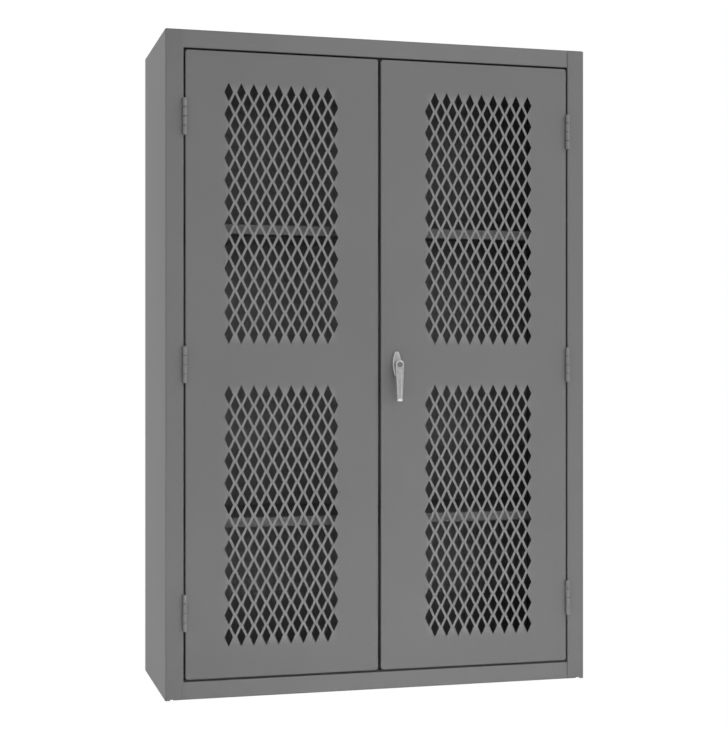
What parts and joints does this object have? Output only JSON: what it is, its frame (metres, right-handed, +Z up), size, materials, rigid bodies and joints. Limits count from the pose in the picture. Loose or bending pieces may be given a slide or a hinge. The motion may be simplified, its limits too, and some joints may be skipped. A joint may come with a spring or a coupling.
{
  "type": "ventilated storage cabinet",
  "caption": "Free-standing steel storage cabinet with hinged double doors perforated with diamond openings, adjustable shelves and a lever handle that works a rod latch.",
  "frame": {"origin": "on the floor, under the middle of the whole cabinet with its handle, 208.6 mm behind the doors' front face", "axes": "+Z up, the doors face -Y, +X to the right of someone facing the doors"},
  "size_m": [1.2192, 0.4972, 1.8288],
  "materials": {
    "case_paint": "grey powder coat, satin, on folded sheet steel",
    "shelf_paint": "the same grey powder coat on the shelf pans",
    "cast_zinc": "satin plated zinc casting",
    "lock_steel": "dark brushed lock face",
    "plated_steel": "bright zinc plating"
  },
  "bodies": {
    "cabinet": {"back_panel": "case_paint", "bottom_panel": "case_paint", "left_front_shelf_standard": "case_paint", "left_lower_hinge_frame_leaf": "case_paint", "left_lower_hinge_pin": "plated_steel", "left_middle_hinge_frame_leaf": "case_paint", "left_middle_hinge_pin": "plated_steel", "left_rear_shelf_standard": "case_paint", "left_side_panel": "case_paint", "left_upper_hinge_frame_leaf": "case_paint", "left_upper_hinge_pin": "plated_steel", "lower_shelf": "shelf_paint", "lower_shelf_left_front_clip": "plated_steel", "lower_shelf_left_rear_clip": "plated_steel", "lower_shelf_right_front_clip": "plated_steel", "lower_shelf_right_rear_clip": "plated_steel", "right_front_shelf_standard": "case_paint", "right_lower_hinge_frame_leaf": "case_paint", "right_lower_hinge_pin": "plated_steel", "right_middle_hinge_frame_leaf": "case_paint", "right_middle_hinge_pin": "plated_steel", "right_rear_shelf_standard": "case_paint", "right_side_panel": "case_paint", "right_upper_hinge_frame_leaf": "case_paint", "right_upper_hinge_pin": "plated_steel", "sill_stop": "case_paint", "top_panel": "case_paint", "upper_shelf": "shelf_paint", "upper_shelf_left_front_clip": "plated_steel", "upper_shelf_left_rear_clip": "plated_steel", "upper_shelf_right_front_clip": "plated_steel", "upper_shelf_right_rear_clip": "plated_steel"},
    "left_door": {"left_door": "case_paint", "left_door_stiffener": "case_paint", "left_lower_hinge_door_leaf": "case_paint", "left_middle_hinge_door_leaf": "case_paint", "left_upper_hinge_door_leaf": "case_paint"},
    "right_door": {"handle_escutcheon": "cast_zinc", "handle_lower_screw": "plated_steel", "handle_upper_screw": "plated_steel", "lower_rod_guide": "plated_steel", "right_door": "case_paint", "right_door_stiffener": "case_paint", "right_lower_hinge_door_leaf": "case_paint", "right_middle_hinge_door_leaf": "case_paint", "right_upper_hinge_door_leaf": "case_paint", "upper_rod_guide": "plated_steel"},
    "handle": {"cam_nut": "plated_steel", "handle_lever": "cast_zinc", "handle_spindle": "plated_steel", "latch_cam": "plated_steel", "lock_cylinder": "lock_steel"},
    "lock_plug": {"lock_plug": "lock_steel"},
    "upper_rod": {"upper_rod": "plated_steel"},
    "lower_rod": {"lower_rod": "plated_steel"}
  },
  "joints": [
    {"name": "left_door_swing", "type": "hinge", "parent": "cabinet", "child": "left_door", "pos_m": [-0.5576, -0.215, 0.9138], "axis": [0, 0, -1], "range_deg": [0, 175]},
    {"name": "right_door_swing", "type": "hinge", "parent": "cabinet", "child": "right_door", "pos_m": [0.5576, -0.215, 0.9138], "axis": [0, 0, 1], "range_deg": [0, 175]},
    {"name": "handle_turn", "type": "hinge", "parent": "right_door", "child": "handle", "pos_m": [0.0421, -0.2086, 0.9138], "axis": [0, -1, 0], "range_deg": [0, 90]},
    {"name": "lock_plug_turn", "type": "hinge", "parent": "handle", "child": "lock_plug", "pos_m": [0.0421, -0.2486, 0.9138], "axis": [0, -1, 0], "range_deg": [0, 90]},
    {"name": "upper_rod_slide", "type": "slide", "parent": "right_door", "child": "upper_rod", "axis": [0, 0, 1], "range_m": [0, 0.02263]},
    {"name": "lower_rod_slide", "type": "slide", "parent": "right_door", "child": "lower_rod", "axis": [0, 0, -1], "range_m": [0, 0.02263]}
  ],
  "couplings": [
    {"joint": "upper_rod_slide", "follows": "handle_turn", "m_per_rad": 0.014405},
    {"joint": "lower_rod_slide", "follows": "handle_turn", "m_per_rad": 0.014405}
  ]
}
